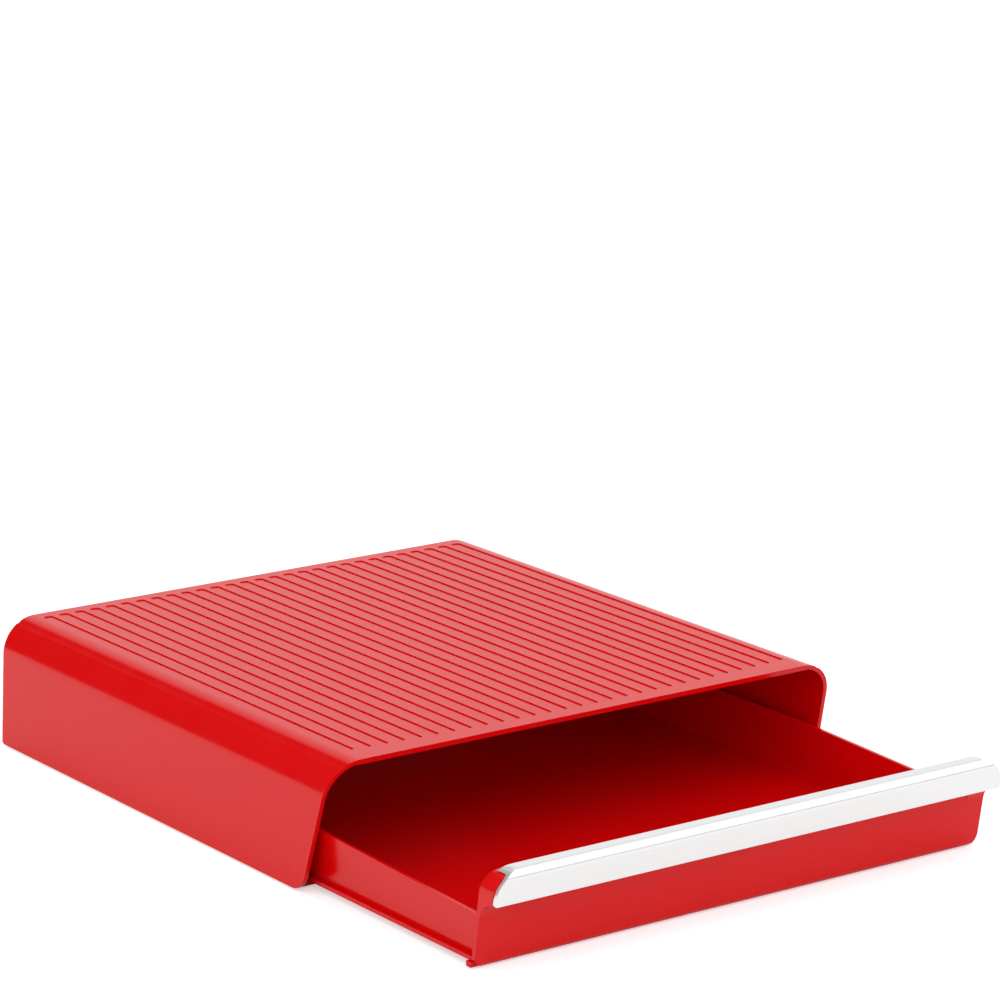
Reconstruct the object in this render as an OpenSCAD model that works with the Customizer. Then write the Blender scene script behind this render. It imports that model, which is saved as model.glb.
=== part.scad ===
// Coffee pod drawer: a moulded casing whose deck carries a coffee machine, with one wide
// drawer that runs on two channel rails. The model is drawn with its drawer part way out.
// Millimetres, +Z up, -Y is the way the drawer opens. The origin is on the table, in the
// middle of the whole object as it stands.

/* [Casing] */
// Outer width where the side walls end, at the table
casing_width = 338; // [280:1:410]
// Depth of the casing along the table
casing_depth = 312.5; // [260:0.5:380]
// Height of the deck above the table
casing_height = 72.5; // [68:0.5:90]
// Thickness of the side walls and the rear wall
casing_wall = 2.5; // [2:0.1:3]
// Thickness of the deck
deck_thickness = 3; // [2.5:0.1:4]
// Inward lean of the side walls, in degrees
side_lean = 3.7; // [2.5:0.1:4.2]
// Forward lean of the side walls' front edges, in degrees
front_slant = 15.5; // [8:0.5:20]
// Backward lean of the rear wall, in degrees
rear_slant = 2; // [0:0.5:4]
// Radius of the long top corners
corner_radius = 21; // [12:0.5:22]
// Radius of the lower front corner of each side wall
toe_radius = 11; // [2:0.5:14]
// Radius of the upper front edge
edge_radius = 2; // [0.5:0.5:4]
// Radius of the upper rear edge
rear_edge_radius = 1; // [0.5:0.5:3]
// Radius of the rear wall's lower edge
heel_radius = 3.5; // [1:0.5:3.5]

/* [Deck grooves] */
// Distance from one groove to the next
groove_pitch = 10.05; // [8:0.05:14]
// Width of a groove
groove_width = 6; // [3:0.5:7]
// Depth of a groove
groove_depth = 0.6; // [0.4:0.1:1.5]
// Corner radius of a groove, seen from above
groove_corner = 2; // [0.5:0.5:1.5]
// Plain margin between the grooves and the rear edge
groove_margin_rear = 8.4; // [5:0.1:20]
// Plain margin between the middle groove and the front edge
groove_margin_front = 10; // [8:0.1:25]
// How much further the outer grooves stay from the front edge
groove_bow = 6; // [0:0.5:10]

/* [Deck ribs] */
// Number of stiffening ribs under the deck
rib_count = 5; // [3:2:7]
// Height of a rib
rib_height = 3; // [2:0.5:6]
// Thickness of a rib
rib_thickness = 1.6; // [1.2:0.1:2.5]

/* [Rails] */
// Height of the casing's lower edge above the table, given by the feet
foot_height = 1; // [0.8:0.1:3]
// Thickness of the ledge that the tray slides on
ledge_thickness = 2.3; // [2:0.1:4]
// Width of the ledge, measured from the side wall
ledge_width = 16; // [14:0.5:24]
// Thickness of the flange that keeps the tray's lip down
flange_thickness = 2; // [1.5:0.1:3]
// Distance from the front of the casing to the rail's front end
rail_setback = 6; // [5:0.5:20]
// Gap between a rail and the leaning side wall
rail_wall_gap = 0.25; // [0.1:0.05:0.5]
// Radius of the foot's pad
foot_radius = 5; // [4:0.25:5.5]
// Distance of the feet from the front and the rear of the casing
foot_inset = 34; // [31:1:38]

/* [Fixings] */
// Shank radius of the screws
screw_radius = 1.3; // [1:0.1:1.4]
// Head radius of the screws
screw_head_radius = 2.4; // [2:0.1:2.5]
// Head height of the screws
screw_head_height = 1.5; // [1:0.1:1.6]
// Distance of the outer rail screws from the front and the rear of the casing
rail_screw_inset = 18; // [14:1:22]

/* [Tie bar and runner] */
// Width of the tie bar, along the drawer's travel
tie_width = 20; // [16:1:30]
// Half the width of the middle runner
runner_half = 12; // [8:1:20]

/* [Tray] */
// Wall thickness of the tray
tray_wall = 2; // [1.5:0.1:2.5]
// Thickness of the tray's floor
tray_floor = 2.2; // [1.8:0.1:3]
// Height of the tray's side walls at the back, above the table
tray_height = 34; // [30:1:44]
// Height of the tray's side walls where they meet the front, above the table
tray_height_front = 28.5; // [24:0.5:36]
// Length over which the side walls fall towards the front
tray_fall_length = 150; // [60:10:200]
// Outward lean of the tray's side walls, in degrees
tray_lean = 6.3; // [2:0.1:6.5]
// Width of the lip that runs in the rail
lip_width = 3.1; // [2.8:0.1:3.3]
// Height of the kerb along the front of the tray
kerb_height = 12; // [8:1:20]
// Space between the closed tray and the casing's rear wall
tray_rear_space = 5.75; // [5:0.25:12]

/* [Drawer front] */
// Gap between the drawer front and the casing's side walls
panel_side_gap = 1.8; // [0.4:0.1:3]
// Height of the drawer front's lower edge above the table
panel_bottom = 0.8; // [0.6:0.1:3]
// Height of the drawer front's top above the table
panel_top = 52; // [46:0.5:58]
// Forward lean of the drawer front, in degrees
panel_slant = 10; // [6:0.5:18]
// Thickness of the drawer front
panel_thickness = 2.5; // [2:0.1:3]
// Radius of the drawer front's upper corners
panel_corner = 10; // [6:0.5:14]
// Radius of the drawer front's lower corners
panel_toe = 7; // [2:0.5:9]
// Radius along the drawer front's lower edge
panel_foot_radius = 5.5; // [2:0.5:6]
// How far the pull stands out from the drawer front
pull_depth = 8.8; // [6:0.2:14]
// Height of the pull's underside above the table
pull_bottom = 39; // [34:0.5:41]
// Wall thickness of the pull
pull_wall = 2.2; // [1.6:0.1:2.6]
// Depth of the foot that runs back under the tray
panel_foot_depth = 18; // [14:1:24]

/* [Handle strip] */
// Wall thickness of the strip
strip_wall = 2; // [1.5:0.1:2.5]
// How far the strip's ends stay inside the ends of the pull
strip_inset = 0.3; // [0.1:0.1:4]
// Radius of the strip's upper corners, seen from the front
strip_corner = 15; // [8:0.5:16]
// Radius along the strip's front upper edge
strip_edge = 4.5; // [3:0.5:6]
// Depth of the lip that grips under the pull
strip_grip = 5; // [3:0.5:7]
// How far that lip ends before the ends of the strip
grip_inset = 12; // [8:1:30]

/* [Stop hooks] */
// Width of a stop hook
hook_width = 20; // [16:1:30]
// Height of a stop hook's top above the table
hook_top = 18; // [14:1:24]
// Thickness of a stop hook
hook_thickness = 2.2; // [1.6:0.1:2.6]

/* [Drawer travel] */
// How far the drawer stands open as drawn
drawer_open = 138; // [0:1:180]
// Length of the drawer that stays in the casing when it is stopped
drawer_hold = 77.5; // [72:0.5:130]

/* [Pods] */
// Space that one pod takes, from one pod to the next
pod_pitch = 52; // [48:0.5:54]

/* [Hidden] */
$fn = 48;

red = [0.80, 0.02, 0.04];
silver = [0.85, 0.86, 0.88];
rail_grey = [0.72, 0.72, 0.70];
steel = [0.55, 0.56, 0.58];
rubber = [0.10, 0.10, 0.10];

arc_step = 6;             // degrees between the points of a rounded outline
groove_arc_step = 30;     // the same for the corners of the grooves
sliding_gap = 0.3;        // between faces that slide on each other
fit_gap = 0.15;           // between pieces that are pushed together
lip_side_gap = 0.45;      // between the tray and the upright parts of the rails
seat_gap = 0.05;          // between the tray and the drawer front that is screwed to it
strip_gap = 0.2;          // between the strip and the pull that it covers
cut_past = 1;             // how far a cutter passes the face it cuts
weld = 0.5;               // how far the parts of one moulding run into each other
heel_gap = 4.4;           // between the drawer front and the rails when the drawer is shut
front_reach = 60;         // enough to pass the pull and the strip from behind the front

half_width = casing_width / 2;
front_y = -casing_depth / 2;
rear_y = casing_depth / 2;
slant = tan(front_slant);
deck_front_y = front_y - slant * casing_height;
drawer_travel = casing_depth - drawer_hold;

// The deck's flat part takes as many grooves as it has room for
deck_flat_half = outer_half(casing_height) - corner_radius / tan(45 + side_lean / 2);
groove_count = floor((2 * deck_flat_half - groove_width) / groove_pitch) + 1;

ledge_top = foot_height + ledge_thickness;
tray_bottom = ledge_top + sliding_gap;
lip_top = tray_bottom + tray_floor;
flange_bottom = lip_top + sliding_gap;
rail_top = flange_bottom + flange_thickness;
rail_front_y = front_y + rail_setback;
rail_rear_y = rear_y - casing_wall - sliding_gap;

rail_web = 5.4;           // width of the rail's upright part at its foot
web_inner = inner_half(foot_height) - rail_wall_gap - rail_web;
lip_half = web_inner - lip_side_gap;
tray_half = lip_half - lip_width;
ledge_half = inner_half(foot_height) - ledge_width;
flange_half = tray_half_at(rail_top) + lip_side_gap;
rail_screw_x = web_inner + rail_web / 2 - 0.2;
screw_hole = screw_radius + fit_gap;
screw_pilot = screw_radius + 0.04;
screw_recess = screw_head_radius + 0.1;
head_recess_depth = screw_head_height + 0.2;
head_sink = head_recess_depth - screw_head_height;
drive_length = 2.6;       // of each arm of the cross in a screw's head
drive_width = 0.6;
drive_depth = 0.9;
boss_wall = 1.5;
boss_radius = screw_radius + boss_wall;
boss_height = 10;
pilot_end = 1;            // of a pilot hole past the screw's tip
rail_screw_length = rail_top - foot_height - head_sink + boss_height - boss_wall - pilot_end;

tray_rear_y = rear_y - casing_wall - tray_rear_space;
panel_y_thickness = panel_thickness / cos(panel_slant);
panel_level = (pull_bottom + panel_top) / 2;
panel_foot_y = panel_y(0);
panel_heel_y = rail_front_y - heel_gap;
heel_flat = 0.5;          // at least, behind the rounded lower edge
foot_rounding = min(panel_foot_radius, (panel_heel_y - panel_y(panel_bottom) - heel_flat)
                                       * tan(45 + panel_slant / 2));
tray_front_y = panel_foot_y + panel_y_thickness + seat_gap;
rail_screw_y = casing_depth / 2 - rail_screw_inset;
foot_y = casing_depth / 2 - foot_inset;
panel_screw_y = tray_front_y + panel_foot_depth / 2;
panel_screw_x = [-2 * pod_pitch, -pod_pitch, pod_pitch, 2 * pod_pitch];
panel_screw_length = 9;
panel_foot_half = ledge_half - 4;
floor_boss_height = panel_screw_length + pilot_end + boss_wall - tray_floor
                    - tray_bottom + panel_bottom + head_sink;

panel_half = inner_half(panel_top - panel_corner) - panel_side_gap;
pull_front = -pull_depth;
pull_edge = strip_edge - strip_wall - strip_gap;
strip_back = pull_front - strip_gap;
strip_front = strip_back - strip_wall;
strip_half = panel_half - strip_inset;
grip_half = strip_half - grip_inset;
strip_bottom = pull_bottom - strip_gap - strip_wall;
strip_top = panel_top + strip_gap + strip_wall;

hook_x = 2 * pod_pitch;
hook_bottom = ledge_top - 1.6;
hook_screw_z = (hook_top + lip_top) / 2;
hook_screw_spacing = hook_width / 2;
hook_boss_length = 5;
hook_screw_length = screw_head_height + hook_thickness + tray_wall + hook_boss_length
                    - boss_wall - pilot_end;
tie_rear_y = tray_rear_y - drawer_travel - sliding_gap;
tie_front_y = tie_rear_y - tie_width;
tie_tongue = 6;           // length of the tongue that lies in a rail
tongue_thickness = ledge_thickness / 2;
runner_tongue = 8;        // length of the runner's front tongue
tongue_half = runner_half - 2;
tie_head_half = tie_width / 2 - 2;
tie_neck_half = tie_width / 2 - 5;

foot_x = (ledge_half + web_inner) / 2;
foot_chamfer = 0.4;
stem_radius = 1.9;
stem_hole = stem_radius + fit_gap;
stem_height = ledge_thickness - sliding_gap;

// The middle of the whole object, from the strip's foremost line to the deck's rear edge
strip_foremost_y = panel_y(strip_edge_centre().y) - drawer_open + strip_edge_centre().x - strip_edge;
rearmost_y = rear_at(casing_height - rear_edge_radius) - rear_edge_radius / cos(rear_slant)
             + rear_edge_radius;
middle_y = (strip_foremost_y + rearmost_y) / 2;

// ---- Outlines ------------------------------------------------------------------------

function unit(v) = v / norm(v);
function wrapped(a) = a > 180 ? a - 360 : a < -180 ? a + 360 : a;

// One corner of an outline, turned into an arc
function corner_arc(corner, before, after, radius, step) =
    radius == 0 ? [corner] :
    let (to_before = unit(before - corner),
         to_after = unit(after - corner),
         half_angle = acos(to_before * to_after) / 2,
         reach = radius / tan(half_angle),
         centre = corner + unit(to_before + to_after) * radius / sin(half_angle),
         from = corner + to_before * reach - centre,
         to = corner + to_after * reach - centre,
         start = atan2(from.y, from.x),
         sweep = wrapped(atan2(to.y, to.x) - start),
         steps = max(2, ceil(abs(sweep) / step)))
    [for (i = [0:steps]) centre + radius * [cos(start + sweep * i / steps),
                                            sin(start + sweep * i / steps)]];

// An outline with each corner rounded by its own radius
function rounded(points, radii, step = arc_step) =
    let (n = len(points))
    [for (i = [0:n - 1])
        each corner_arc(points[i], points[(i + n - 1) % n], points[(i + 1) % n], radii[i],
                        step)];

function mirrored(points) = [for (i = [len(points) - 1:-1:0]) [-points[i].x, points[i].y]];

// Half widths that change with height, and the slanted planes: the casing's front and rear,
// and the drawer front when it is shut
function outer_half(z) = half_width - z * tan(side_lean);
function inner_half(z) = outer_half(z) - casing_wall / cos(side_lean);
function tray_half_at(z) = tray_half + (z - tray_bottom) * tan(tray_lean);
function plane_y(z) = front_y - slant * z;
function rear_at(z) = rear_y + z * tan(rear_slant);
function panel_y(z) = plane_y(panel_level) - (z - panel_level) * tan(panel_slant);

// Centre of the arc along the strip's front upper edge, as [forward of the plane, height]
function strip_edge_centre() =
    let (z = strip_top - strip_edge)
    [strip_front + strip_edge / cos(panel_slant), z];

// ---- Shared shapes -------------------------------------------------------------------

// A shape drawn in X and Z, drawn out along Y
module along_y(from, to) {
    translate([0, to, 0])
        rotate([90, 0, 0])
            linear_extrude(to - from)
                children();
}

// A shape drawn in Y and Z, drawn out along X
module along_x(from, to) {
    translate([from, 0, 0])
        rotate([90, 0, 90])
            linear_extrude(to - from)
                children();
}

// The same piece on the other side of the middle
module both_sides() {
    children();
    mirror([1, 0, 0]) children();
}

module base_place() {
    translate([0, -middle_y, 0]) children();
}

module drawer_place() {
    translate([0, -middle_y - drawer_open, 0]) children();
}

// A cross-head screw with its head's outer face at z = 0, pointing up
module screw(length) {
    difference() {
        union() {
            cylinder(r = screw_head_radius, h = screw_head_height);
            cylinder(r = screw_radius, h = length);
        }
        for (turn = [0, 90])
            rotate([0, 0, turn])
                translate([-drive_length / 2, -drive_width / 2, -cut_past])
                    cube([drive_length, drive_width, cut_past + drive_depth]);
    }
}

// The way of a screw: a recess for its head, then its hole
module screw_way(length, hole) {
    translate([0, 0, -cut_past])
        cylinder(r = screw_recess, h = head_recess_depth + cut_past);
    cylinder(r = hole, h = length);
}

// ---- Casing --------------------------------------------------------------------------

module casing_outline(half_at_foot, half_at_top, top, radius, foot) {
    polygon(rounded([[-half_at_foot, foot], [-half_at_top, top],
                     [half_at_top, top], [half_at_foot, foot]],
                    [0, radius, radius, 0]));
}

module casing_side_outline() {
    polygon(rounded([[plane_y(foot_height), foot_height], [deck_front_y, casing_height],
                     [rear_at(casing_height), casing_height],
                     [rear_at(foot_height), foot_height]],
                    [toe_radius, edge_radius, rear_edge_radius, heel_radius]));
}

// The hollow of the casing seen from its side: it leaves the rear wall
module casing_hollow_side_outline() {
    wall = casing_wall / cos(rear_slant);
    open_y = deck_front_y - 3 * cut_past;
    polygon([[open_y, -2 * cut_past], [open_y, casing_height],
             [rear_at(casing_height) - wall, casing_height],
             [rear_at(-2 * cut_past) - wall, -2 * cut_past]]);
}

module casing_shell() {
    inner_top = casing_height - deck_thickness;
    difference() {
        intersection() {
            along_y(deck_front_y - cut_past, rear_at(casing_height) + cut_past)
                casing_outline(outer_half(foot_height), outer_half(casing_height),
                               casing_height, corner_radius, foot_height);
            along_x(-half_width - cut_past, half_width + cut_past)
                casing_side_outline();
        }
        intersection() {
            along_y(deck_front_y - 2 * cut_past, rear_at(casing_height))
                casing_outline(inner_half(-cut_past), inner_half(inner_top),
                               inner_top, corner_radius - casing_wall, -cut_past);
            along_x(-half_width, half_width)
                casing_hollow_side_outline();
        }
    }
}

module deck_grooves() {
    span = (groove_count - 1) / 2;
    groove_rear_y = rear_at(casing_height) - groove_margin_rear;
    translate([0, 0, casing_height - groove_depth])
        linear_extrude(groove_depth + cut_past)
            for (i = [-span:span]) {
                right = i * groove_pitch + groove_width / 2;
                left = right - groove_width;
                groove_front_y = deck_front_y + groove_margin_front + groove_bow * pow(i / span, 2);
                polygon(rounded([[left, groove_front_y], [right, groove_front_y],
                                 [right, groove_rear_y], [left, groove_rear_y]],
                                [for (corner = [0:3]) groove_corner], groove_arc_step));
            }
}

module deck_ribs() {
    rib_front_y = deck_front_y + groove_margin_front + rib_height;
    rib_bottom = casing_height - deck_thickness - rib_height;
    rib_length = rear_at(rib_bottom) - casing_wall / 2 - rib_front_y;
    rib_pitch = 2 * inner_half(casing_height) / (rib_count + 1);
    for (i = [1:rib_count])
        translate([-inner_half(casing_height) + i * rib_pitch - rib_thickness / 2,
                   rib_front_y, rib_bottom])
            cube([rib_thickness, rib_length, rib_height + weld]);
}

module rail_screw_places() {
    for (y = [-rail_screw_y, 0, rail_screw_y])
        translate([-rail_screw_x, y, foot_height])
            children();
}

// The bosses inside a side wall that take the rail's screws
module rail_bosses() {
    rail_screw_places() {
        translate([0, 0, rail_top - foot_height])
            cylinder(r = boss_radius, h = boss_height);
        translate([rail_screw_x - half_width + casing_wall, -screw_radius,
                   rail_top - foot_height])
            cube([half_width - rail_screw_x - casing_wall, 2 * screw_radius, boss_height]);
    }
}

module casing() {
    color(red) base_place() difference() {
        union() {
            casing_shell();
            deck_ribs();
            both_sides() rail_bosses();
        }
        deck_grooves();
        both_sides()
            rail_screw_places()
                cylinder(r = screw_pilot, h = head_sink + rail_screw_length + pilot_end);
        runner_slot();
    }
}

// The slot low in the rear wall that holds the end of the middle runner
module runner_slot() {
    translate([-tongue_half - fit_gap, rear_y - casing_wall - cut_past,
               ledge_top - tongue_thickness - fit_gap])
        cube([2 * (tongue_half + fit_gap), casing_wall + 2 * cut_past,
              tongue_thickness + 2 * fit_gap]);
}

// ---- Rails, tie bar, runner and feet -------------------------------------------------

// The left rail's section: ledge, upright and flange
module rail_section() {
    outer_low = -inner_half(foot_height) + rail_wall_gap;
    outer_high = -inner_half(rail_top) + rail_wall_gap;
    polygon([[outer_low, foot_height], [-ledge_half, foot_height], [-ledge_half, ledge_top],
             [-web_inner, ledge_top], [-web_inner, flange_bottom],
             [-flange_half, flange_bottom], [-flange_half, rail_top],
             [outer_high, rail_top]]);
}

// Where the tie bar's tongue lies in the rail's ledge, seen from above
module tie_tongue_outline(gap) {
    middle = (tie_front_y + tie_rear_y) / 2;
    polygon([[-ledge_half + cut_past, middle - tie_neck_half - gap],
             [-ledge_half - tie_tongue - gap, middle - tie_head_half - gap],
             [-ledge_half - tie_tongue - gap, middle + tie_head_half + gap],
             [-ledge_half + cut_past, middle + tie_neck_half + gap]]);
}

module left_rail_solid() {
    difference() {
        union() {
            along_y(rail_front_y, rail_rear_y) rail_section();
            // closes the channel behind the tray's lip
            translate([-web_inner - weld, tray_rear_y + sliding_gap, ledge_top - weld])
                cube([web_inner + weld - flange_half, rail_rear_y - tray_rear_y - sliding_gap,
                      rail_top - ledge_top + weld]);
        }
        rail_screw_places()
            screw_way(rail_top, screw_hole);
        translate([0, 0, ledge_top - tongue_thickness - fit_gap])
            linear_extrude(ledge_thickness)
                tie_tongue_outline(fit_gap);
        for (side = [-1, 1])
            translate([-foot_x, side * foot_y, foot_height - cut_past])
                cylinder(r = stem_hole, h = ledge_thickness + 2 * cut_past);
    }
}

module left_rail() {
    color(rail_grey) base_place() left_rail_solid();
}

module right_rail() {
    color(rail_grey) base_place() mirror([1, 0, 0]) left_rail_solid();
}

module rail_screws_solid() {
    rail_screw_places()
        translate([0, 0, head_sink])
            screw(rail_screw_length);
}

module left_rail_screws() {
    color(steel) base_place() rail_screws_solid();
}

module right_rail_screws() {
    color(steel) base_place() mirror([1, 0, 0]) rail_screws_solid();
}

// The bar that holds the rails at their distance and stops the drawer
module front_tie_bar() {
    color(rail_grey) base_place() difference() {
        union() {
            translate([-ledge_half + fit_gap, tie_front_y, foot_height])
                cube([2 * (ledge_half - fit_gap), tie_width, ledge_thickness]);
            both_sides()
                translate([0, 0, ledge_top - tongue_thickness])
                    linear_extrude(tongue_thickness)
                        tie_tongue_outline(0);
        }
        translate([-tongue_half - fit_gap, tie_rear_y - runner_tongue - fit_gap,
                   ledge_top - tongue_thickness - fit_gap])
            cube([2 * (tongue_half + fit_gap), runner_tongue + cut_past + fit_gap,
                  ledge_thickness]);
    }
}

// The strip under the middle of the tray's floor
module centre_runner() {
    body_rear_y = rear_y - casing_wall - fit_gap;
    color(rail_grey) base_place() {
        translate([-runner_half, tie_rear_y + fit_gap, foot_height])
            cube([2 * runner_half, body_rear_y - tie_rear_y - fit_gap, ledge_thickness]);
        translate([-tongue_half, tie_rear_y - runner_tongue, ledge_top - tongue_thickness])
            cube([2 * tongue_half, rear_y - casing_wall / 2 - tie_rear_y + runner_tongue,
                  tongue_thickness]);
    }
}

// A push-in foot: a pad with a stem
module foot(side_x, side_y) {
    color(rubber) base_place() translate([side_x * foot_x, side_y * foot_y, 0]) {
        cylinder(r1 = foot_radius - foot_chamfer, r2 = foot_radius, h = foot_height / 2);
        translate([0, 0, foot_height / 2])
            cylinder(r = foot_radius, h = foot_height / 2);
        cylinder(r = stem_radius, h = foot_height + stem_height);
    }
}

module front_left_foot() { foot(-1, -1); }
module front_right_foot() { foot(1, -1); }
module rear_left_foot() { foot(-1, 1); }
module rear_right_foot() { foot(1, 1); }

// ---- Tray ----------------------------------------------------------------------------

// Walls, floor and lips of the tray, seen from the front
module tray_outline() {
    right = [[lip_half, tray_bottom], [lip_half, lip_top],
             [tray_half_at(lip_top), lip_top], [tray_half_at(tray_height), tray_height]];
    polygon(concat(right, mirrored(right)));
}

module tray_inner_outline() {
    thickness = tray_wall / cos(tray_lean);
    right = [[tray_half_at(lip_top) - thickness, lip_top],
             [tray_half_at(tray_height + cut_past) - thickness, tray_height + cut_past]];
    polygon(concat(right, mirrored(right)));
}

// The tray seen from its side, with its falling top edge
module tray_side_outline() {
    front_top_y = panel_y(tray_height_front) + panel_y_thickness + seat_gap;
    polygon([[panel_y(tray_bottom) + panel_y_thickness + seat_gap, tray_bottom],
             [front_top_y, tray_height_front],
             [front_top_y + tray_fall_length, tray_height],
             [tray_rear_y, tray_height],
             [tray_rear_y, tray_bottom]]);
}

// The hollow of the tray seen from its side: it passes the front above the kerb
module tray_hollow_outline() {
    kerb_top = tray_bottom + kerb_height;
    back_of_kerb = panel_y_thickness + seat_gap + tray_wall;
    polygon([[panel_y(lip_top) + back_of_kerb, lip_top],
             [panel_y(kerb_top) + back_of_kerb, kerb_top],
             [front_y - front_reach, kerb_top],
             [front_y - front_reach, tray_height + cut_past],
             [tray_rear_y - tray_wall, tray_height + cut_past],
             [tray_rear_y - tray_wall, lip_top]]);
}

module panel_screw_places() {
    for (x = panel_screw_x)
        translate([x, panel_screw_y, panel_bottom])
            children();
}

// Places of the stop hooks' screws, pointing forwards into the rear wall
module hook_screw_places() {
    for (side = [-1, 1])
        translate([-hook_x + side * hook_screw_spacing / 2,
                   tray_rear_y + hook_thickness, hook_screw_z])
            rotate([90, 0, 0])
                children();
}

module tray() {
    wide = half_width + cut_past;
    color(red) drawer_place() difference() {
        union() {
            difference() {
                intersection() {
                    along_y(front_y - front_reach, tray_rear_y + cut_past) tray_outline();
                    along_x(-wide, wide) tray_side_outline();
                }
                intersection() {
                    along_y(front_y - front_reach, tray_rear_y) tray_inner_outline();
                    along_x(-wide, wide) tray_hollow_outline();
                }
            }
            panel_screw_places()
                translate([0, 0, tray_bottom + weld - panel_bottom])
                    cylinder(r = boss_radius, h = tray_floor + floor_boss_height - weld);
            both_sides()
                hook_screw_places()
                    translate([0, 0, hook_thickness + weld])
                        cylinder(r = boss_radius, h = tray_wall + hook_boss_length - weld);
        }
        panel_screw_places()
            cylinder(r = screw_pilot, h = head_sink + panel_screw_length + pilot_end);
        both_sides()
            hook_screw_places()
                cylinder(r = screw_pilot, h = hook_screw_length - screw_head_height + pilot_end);
    }
}

// ---- Drawer front and handle strip ---------------------------------------------------

// The drawer front seen from its side: the plate, the pull that stands out from it, and the
// heel that runs back under the tray
module panel_side_outline() {
    polygon(rounded([[panel_y(panel_bottom), panel_bottom],
                     [panel_y(pull_bottom), pull_bottom],
                     [panel_y(pull_bottom) + pull_front, pull_bottom],
                     [panel_y(panel_top) + pull_front, panel_top],
                     [panel_y(panel_top) + panel_y_thickness, panel_top],
                     [panel_y(tray_bottom) + panel_y_thickness, tray_bottom],
                     [panel_heel_y, tray_bottom],
                     [panel_heel_y, panel_bottom]],
                    [foot_rounding, 0, 0.5, pull_edge, 0.8, 0, 0, 0]));
}

module panel_outline() {
    polygon(rounded([[-panel_half, panel_bottom], [-panel_half, panel_top],
                     [panel_half, panel_top], [panel_half, panel_bottom]],
                    [panel_toe, panel_corner, panel_corner, panel_toe]));
}

// The pull is hollow, and the strip closes it
module pull_hollow_outline() {
    half = panel_half - pull_wall;
    low = pull_bottom + pull_wall;
    high = panel_top - pull_wall;
    low_radius = 0.5;
    high_radius = min(panel_corner - pull_wall, high - low - 2 * low_radius);
    polygon(rounded([[-half, low], [-half, high], [half, high], [half, low]],
                    [low_radius, high_radius, high_radius, low_radius]));
}

module pull_hollow_side_outline() {
    polygon([[panel_y(pull_bottom), pull_bottom], [panel_y(panel_top), panel_top],
             [panel_y(panel_top) + pull_front - cut_past, panel_top],
             [panel_y(pull_bottom) + pull_front - cut_past, pull_bottom]]);
}

// The ends of the pull reach down beside the strip's lip, and sweep into the front's plane
module pull_end_outline() {
    low = strip_bottom - pull_depth;
    high = pull_bottom + weld;
    polygon([[panel_y(high) + weld, high], [panel_y(low) + weld, low],
             for (angle = [0:arc_step:90])
                 let (z = low + pull_depth * sin(angle))
                 [panel_y(z) - pull_depth * (1 - cos(angle)), z],
             [panel_y(high) + pull_front, high]]);
}

// Room for the lower edge, which keeps its whole width behind the plate
module heel_room() {
    heel_front_y = panel_y(panel_bottom) + panel_y_thickness;
    translate([-panel_half, heel_front_y, panel_bottom - cut_past])
        cube([2 * panel_half, panel_heel_y - heel_front_y + cut_past,
              tray_bottom - panel_bottom + cut_past]);
}

module front_panel() {
    wide = panel_half + cut_past;
    color(red) drawer_place() difference() {
        union() {
            intersection() {
                union() {
                    along_y(front_y - front_reach, front_y + panel_foot_depth)
                        panel_outline();
                    heel_room();
                }
                along_x(-wide, wide) panel_side_outline();
            }
            both_sides()
                along_x(grip_half + strip_gap, panel_half) pull_end_outline();
            translate([-panel_foot_half, panel_heel_y - weld, panel_bottom])
                cube([2 * panel_foot_half, tray_front_y + panel_foot_depth - panel_heel_y + weld,
                      tray_bottom - panel_bottom]);
        }
        intersection() {
            along_y(front_y - front_reach, front_y + panel_foot_depth) pull_hollow_outline();
            along_x(-wide, wide) pull_hollow_side_outline();
        }
        panel_screw_places()
            screw_way(tray_bottom, screw_hole);
    }
}

module front_panel_screws() {
    color(steel) drawer_place()
        panel_screw_places()
            translate([0, 0, head_sink])
                screw(panel_screw_length);
}

module strip_outline() {
    low_radius = 1.5;
    high_radius = min(strip_corner, strip_top - strip_bottom - low_radius);
    polygon(rounded([[-strip_half, strip_bottom], [-strip_half, strip_top],
                     [strip_half, strip_top], [strip_half, strip_bottom]],
                    [low_radius, high_radius, high_radius, low_radius]));
}

// The strip's section: a lip under the pull, the front and the top
module strip_section() {
    grip_top = strip_bottom + strip_wall;
    cover_bottom = strip_top - strip_wall;
    polygon(rounded([[panel_y(strip_bottom) + strip_front, strip_bottom],
                     [panel_y(strip_top) + strip_front, strip_top],
                     [panel_y(strip_top), strip_top],
                     [panel_y(cover_bottom), cover_bottom],
                     [panel_y(cover_bottom) + strip_back, cover_bottom],
                     [panel_y(grip_top) + strip_back, grip_top],
                     [panel_y(grip_top) + strip_back + strip_grip, grip_top],
                     [panel_y(strip_bottom) + strip_back + strip_grip, strip_bottom]],
                    [0.8, strip_edge, 0.4, 0, strip_edge - strip_wall, 0, 0.4, 0.4]));
}

// The space of the lip, which the strip's ends leave to the pull
module grip_end_outline() {
    low = strip_bottom - cut_past;
    high = pull_bottom;
    reach = strip_back + strip_grip + cut_past;
    polygon([[panel_y(low) + strip_back, low], [panel_y(high) + strip_back, high],
             [panel_y(high) + reach, high], [panel_y(low) + reach, low]]);
}

module handle_strip() {
    color(silver) drawer_place() difference() {
        intersection() {
            along_y(front_y - front_reach, front_y + panel_foot_depth) strip_outline();
            along_x(-panel_half, panel_half) strip_section();
        }
        both_sides()
            along_x(grip_half, panel_half) grip_end_outline();
    }
}

// ---- Stop hooks ----------------------------------------------------------------------

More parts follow.
